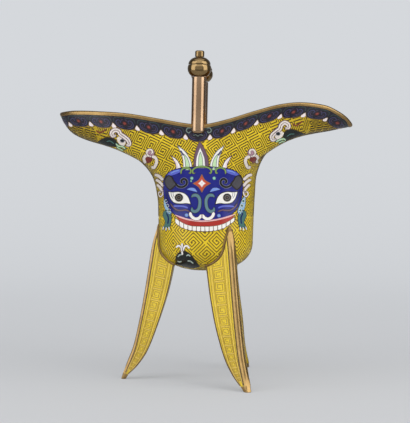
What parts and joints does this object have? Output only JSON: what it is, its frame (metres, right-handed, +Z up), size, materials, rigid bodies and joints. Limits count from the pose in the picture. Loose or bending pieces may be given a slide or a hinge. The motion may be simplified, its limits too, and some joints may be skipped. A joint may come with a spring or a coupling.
{
  "type": "ritual wine cup",
  "caption": "Tripod ritual wine cup with a pouring spout, a tail, blade legs, rim posts and an enamelled bowl.",
  "frame": {"origin": "on the standing surface, under the bowl's axis, at the middle of the object's outline", "axes": "+X towards the pouring spout, -Y towards the face on the front of the bowl, +Z up"},
  "size_m": [0.1747, 0.09, 0.195],
  "materials": {
    "enamelled_copper": "polished yellow enamel with fine wires",
    "gilt_bronze": "rubbed gilding",
    "bronze": "polished brown bronze",
    "rod_metal": "dull"
  },
  "bodies": {
    "root": {"bowl_shell": "enamelled_copper", "rim_band": "gilt_bronze", "post_front_stem": "bronze", "post_front_ball": "bronze", "post_front_cap": "bronze", "post_front_finial": "gilt_bronze", "post_front_tie_rod": "rod_metal", "post_back_stem": "bronze", "post_back_ball": "bronze", "post_back_cap": "bronze", "post_back_finial": "gilt_bronze", "post_back_tie_rod": "rod_metal", "leg_tail_flank_left": "enamelled_copper", "leg_tail_flank_right": "enamelled_copper", "leg_tail_back_sheet": "bronze", "leg_tail_ridge_strip": "gilt_bronze", "leg_tail_collar": "gilt_bronze", "leg_tail_foot": "gilt_bronze", "leg_front_flank_left": "enamelled_copper", "leg_front_flank_right": "enamelled_copper", "leg_front_back_sheet": "bronze", "leg_front_ridge_strip": "gilt_bronze", "leg_front_collar": "gilt_bronze", "leg_front_foot": "gilt_bronze", "leg_back_flank_left": "enamelled_copper", "leg_back_flank_right": "enamelled_copper", "leg_back_back_sheet": "bronze", "leg_back_ridge_strip": "gilt_bronze", "leg_back_collar": "gilt_bronze", "leg_back_foot": "gilt_bronze"}
  },
  "joints": []
}
